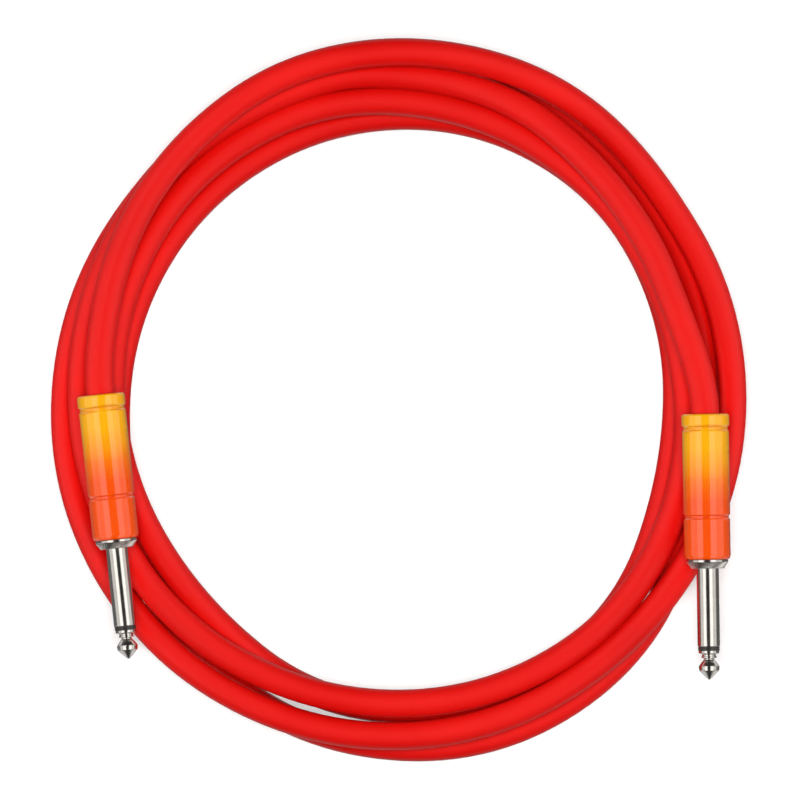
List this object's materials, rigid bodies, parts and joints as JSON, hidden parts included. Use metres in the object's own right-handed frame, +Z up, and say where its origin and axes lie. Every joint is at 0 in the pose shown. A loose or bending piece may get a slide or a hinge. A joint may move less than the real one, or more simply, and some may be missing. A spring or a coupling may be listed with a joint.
{
  "type": "instrument cable",
  "caption": "Coiled red instrument cord with a straight 6.35 mm mono plug at each end. Each plug's lacquered barrel unscrews backwards off its threaded body.",
  "frame": {"origin": "middle of the coil, on the surface it lies on", "axes": "+Z up out of the coil's plane; +Y from the coil's middle towards the side opposite the plug tips; +X towards the right-hand plug"},
  "size_m": [0.1988, 0.205, 0.0301],
  "materials": {
    "jacket": "satin red PVC",
    "barrel_lacquer": "gloss lacquer, yellow at the cord end to orange-red at the front",
    "nickel": "polished nickel plate",
    "brass": "turned",
    "tinned_brass": "tinned, pressed from sheet",
    "black_plastic": "moulded black",
    "white_plastic": "extruded, milky",
    "liner_plastic": "extruded black tube",
    "conductive_plastic": "matt black, carbon filled",
    "fibre": "punched vulcanised fibre",
    "copper": "bare stranded copper",
    "solder": "bright solder"
  },
  "bodies": {
    "root": {"cord_coil": "jacket", "left_lead": "jacket", "left_plug_body": "nickel", "left_sleeve": "nickel", "left_rod_insulator": "white_plastic", "left_tip_ring": "black_plastic", "left_centre_rod": "brass", "left_tip": "nickel", "left_lug_washer": "fibre", "left_tip_lug": "tinned_brass", "left_ground_lug": "tinned_brass", "left_core_screen": "conductive_plastic", "left_core_insulation": "white_plastic", "left_core_conductor": "copper", "left_shield_tail": "copper", "left_tip_solder": "solder", "left_ground_solder": "solder", "right_lead": "jacket", "right_plug_body": "nickel", "right_sleeve": "nickel", "right_rod_insulator": "white_plastic", "right_tip_ring": "black_plastic", "right_centre_rod": "brass", "right_tip": "nickel", "right_lug_washer": "fibre", "right_tip_lug": "tinned_brass", "right_ground_lug": "tinned_brass", "right_core_screen": "conductive_plastic", "right_core_insulation": "white_plastic", "right_core_conductor": "copper", "right_shield_tail": "copper", "right_tip_solder": "solder", "right_ground_solder": "solder"},
    "left_barrel": {"left_barrel": "barrel_lacquer"},
    "left_liner": {"left_liner": "liner_plastic"},
    "right_barrel": {"right_barrel": "barrel_lacquer"},
    "right_liner": {"right_liner": "liner_plastic"}
  },
  "joints": [
    {"name": "left_barrel_travel", "type": "slide", "parent": "root", "child": "left_liner", "axis": [-0.1063, 0.9943, 0], "range_m": [0, 0.006]},
    {"name": "left_barrel_turn", "type": "hinge", "parent": "left_liner", "child": "left_barrel", "pos_m": [-0.085, 0.0013, 0.0233], "axis": [-0.1063, 0.9943, 0], "range_deg": [0, 2880]},
    {"name": "right_barrel_travel", "type": "slide", "parent": "root", "child": "right_liner", "axis": [-0.0157, 0.9999, 0], "range_m": [0, 0.006]},
    {"name": "right_barrel_turn", "type": "hinge", "parent": "right_liner", "child": "right_barrel", "pos_m": [0.0866, -0.0042, 0.0233], "axis": [-0.0157, 0.9999, 0], "range_deg": [0, 2880]}
  ],
  "couplings": [
    {"joint": "left_barrel_travel", "follows": "left_barrel_turn", "m_per_rad": 0.00011937},
    {"joint": "right_barrel_travel", "follows": "right_barrel_turn", "m_per_rad": 0.00011937}
  ]
}
